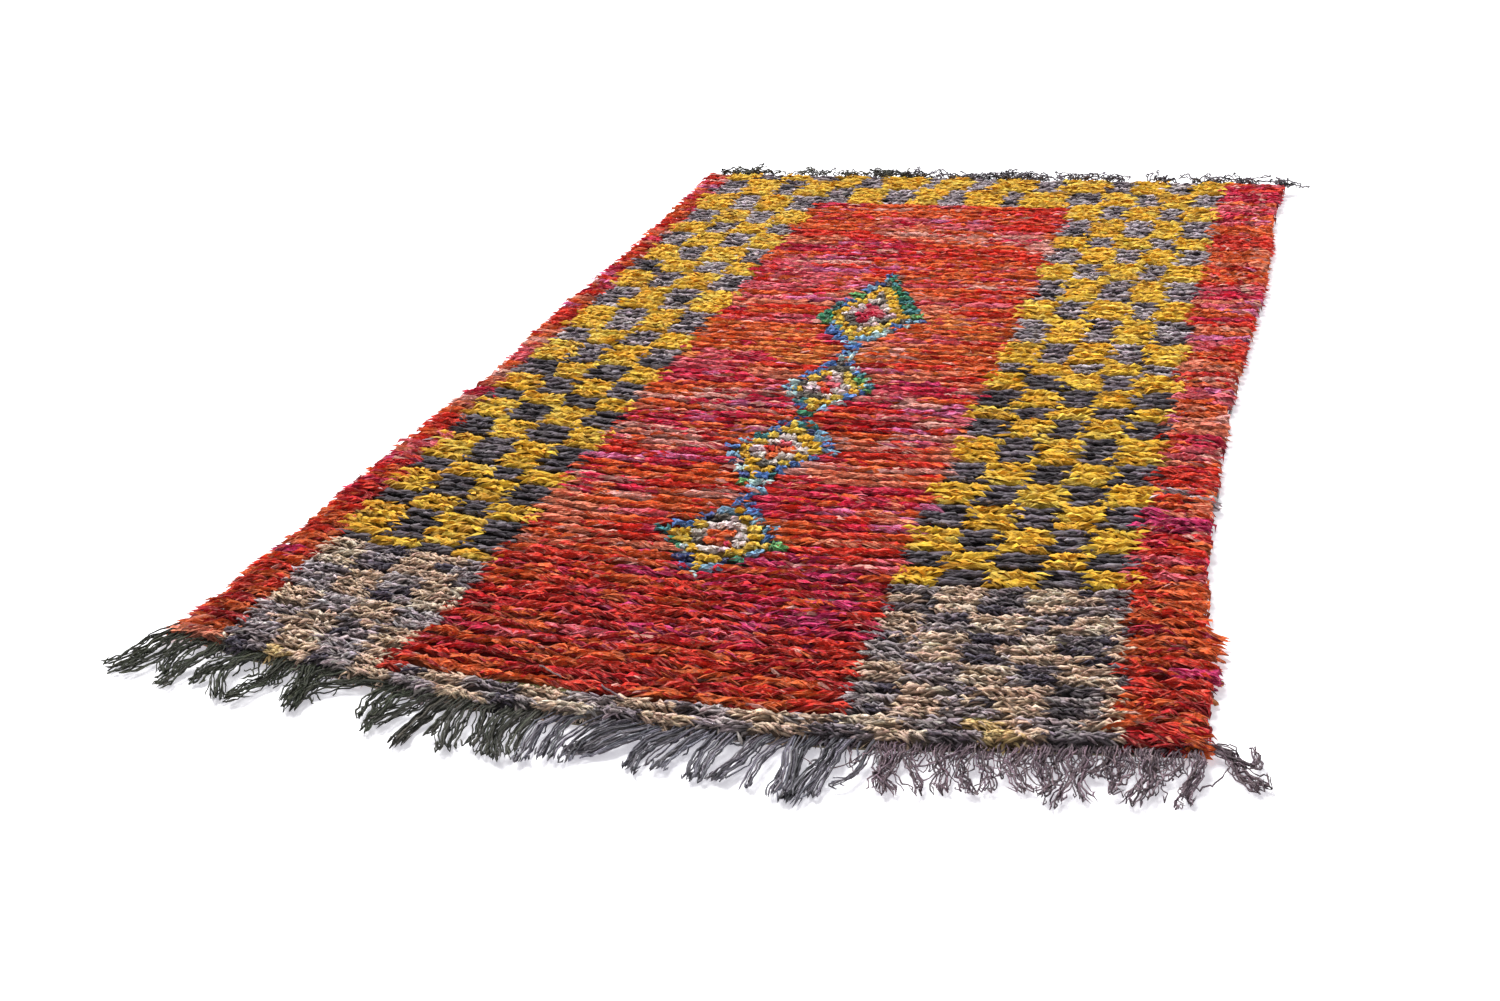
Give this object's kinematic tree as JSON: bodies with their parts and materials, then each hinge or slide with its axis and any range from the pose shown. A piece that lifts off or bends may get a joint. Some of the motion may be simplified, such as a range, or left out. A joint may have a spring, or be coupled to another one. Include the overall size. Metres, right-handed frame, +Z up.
{
  "type": "boucherouite rug",
  "caption": "Flat knotted rag rug with a lumpy pile in rows, checked side bands, a red field with linked diamonds, and a warp fringe at each end.",
  "frame": {"origin": "centre of the underside of the whole outline, fringes included, on the floor", "axes": "+Z up from the floor, +Y along the rug from the long fringe to the short one, +X across it"},
  "size_m": [1.3718, 2.353, 0.0258],
  "materials": {
    "pile": "matte rag and wool pile",
    "near_yarn": "matte plied yarn",
    "far_yarn": "matte plied yarn"
  },
  "bodies": {
    "root": {"knotted_pile": "pile", "fringe_near": "near_yarn", "fringe_far": "far_yarn"}
  },
  "joints": []
}
